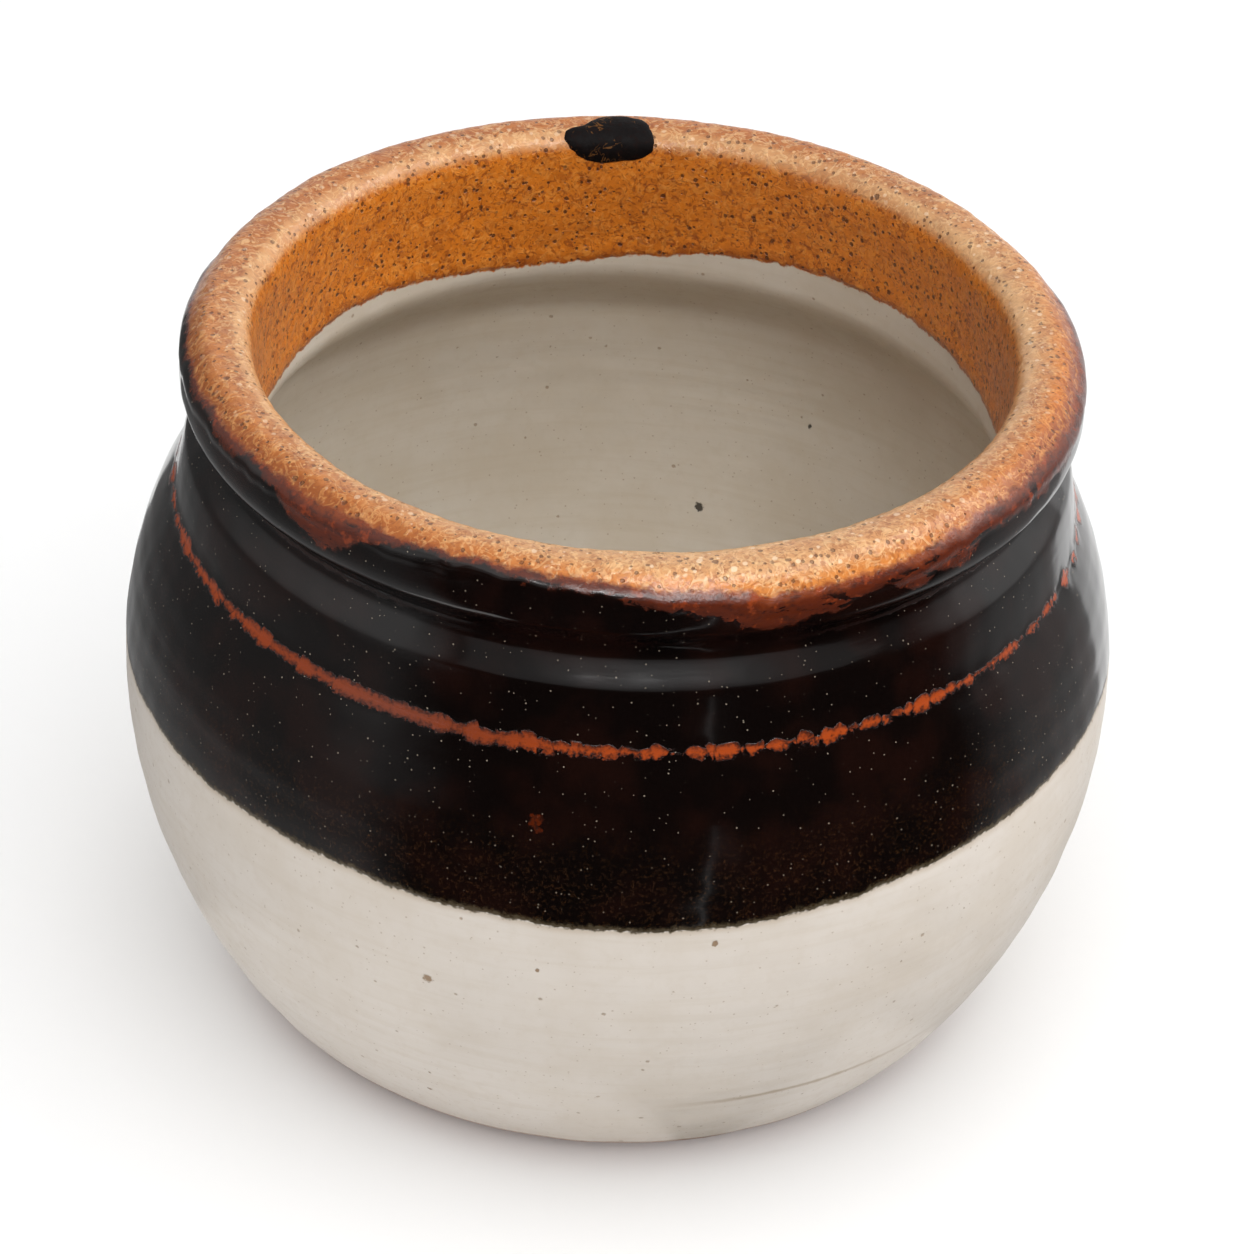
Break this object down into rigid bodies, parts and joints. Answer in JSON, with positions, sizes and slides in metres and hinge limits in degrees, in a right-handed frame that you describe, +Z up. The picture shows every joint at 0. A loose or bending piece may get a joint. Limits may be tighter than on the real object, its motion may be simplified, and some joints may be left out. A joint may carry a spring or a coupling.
{
  "type": "stoneware cooking pot",
  "caption": "Round-bellied glazed stoneware pot with a rolled rim, coved neck and turned foot, open at the top, for slow cooking and serving.",
  "frame": {"origin": "centre of the foot, on the surface that the pot stands on", "axes": "+Z up along the axis of the thrown form, -Y towards the viewer of the picture, +X to that viewer's right"},
  "size_m": [0.1299, 0.1298, 0.0971],
  "materials": {
    "clay": "matte fired clay",
    "liner_glaze": "satin",
    "rim_glaze": "satin, pinholed",
    "dark_glaze": "gloss",
    "lower_glaze": "satin",
    "daub_glaze": "semi-matte"
  },
  "bodies": {
    "root": {"clay_body": "clay", "liner_glaze": "liner_glaze", "rim_glaze": "rim_glaze", "dark_glaze": "dark_glaze", "lower_glaze": "lower_glaze", "rim_daub": "daub_glaze"}
  },
  "joints": []
}
